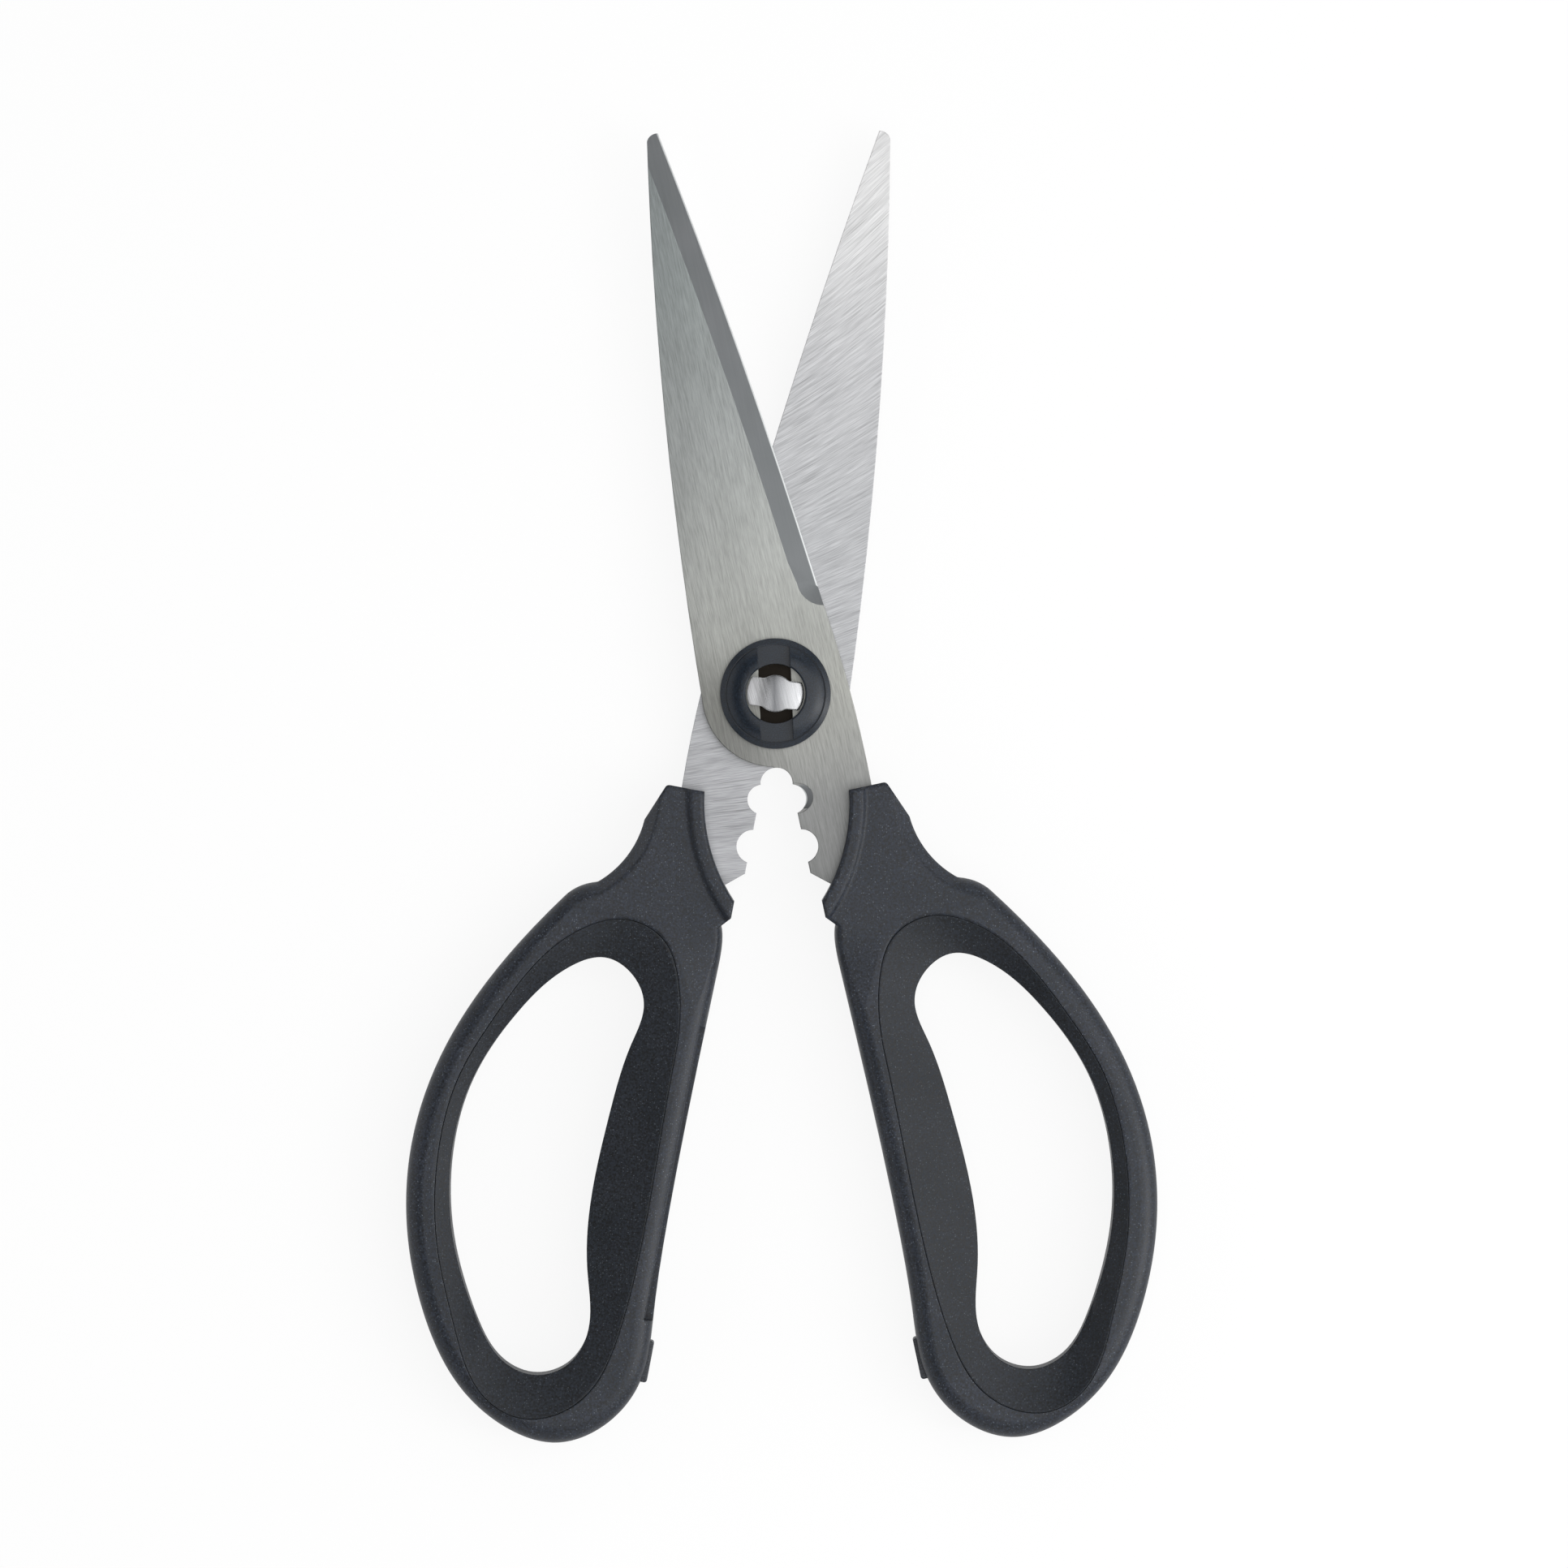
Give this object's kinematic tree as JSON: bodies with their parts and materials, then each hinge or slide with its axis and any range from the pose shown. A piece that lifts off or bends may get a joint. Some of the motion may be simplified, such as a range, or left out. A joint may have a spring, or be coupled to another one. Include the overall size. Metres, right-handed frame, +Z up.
{
  "type": "kitchen shears",
  "caption": "Take-apart kitchen shears lying part open: pointed steel blades on a key pivot, scalloped tangs, dark moulded loop handles with soft liners and stop pads.",
  "frame": {"origin": "centre of the bounding box in plan, on the surface the handles rest on", "axes": "+Y towards the blade tips, +Z up, out of the face the picture shows, +X to the right in the picture"},
  "size_m": [0.1258, 0.219, 0.012],
  "materials": {
    "front_blade_steel": "fine grain along the blade",
    "rear_blade_steel": "coarse slanting grind marks",
    "stud_steel": "brushed, slightly domed",
    "collar_plastic": "fine satin moulding",
    "handle_plastic": "fine matte moulding",
    "grip_rubber": "soft, finely speckled",
    "pad_rubber": "soft matte"
  },
  "bodies": {
    "front_half": {"front_blade": "front_blade_steel", "right_handle": "handle_plastic", "right_grip": "grip_rubber", "right_stop_pad": "pad_rubber", "pivot_collar": "collar_plastic"},
    "rear_half": {"rear_blade": "rear_blade_steel", "left_handle": "handle_plastic", "left_grip": "grip_rubber", "left_stop_pad": "pad_rubber", "pivot_stud": "stud_steel"}
  },
  "joints": [
    {"name": "pivot_hinge", "type": "hinge", "parent": "front_half", "child": "rear_half", "pos_m": [0, 0.01535, 0.006], "axis": [0, 0, -1], "range_deg": [-22.5, 80]}
  ]
}
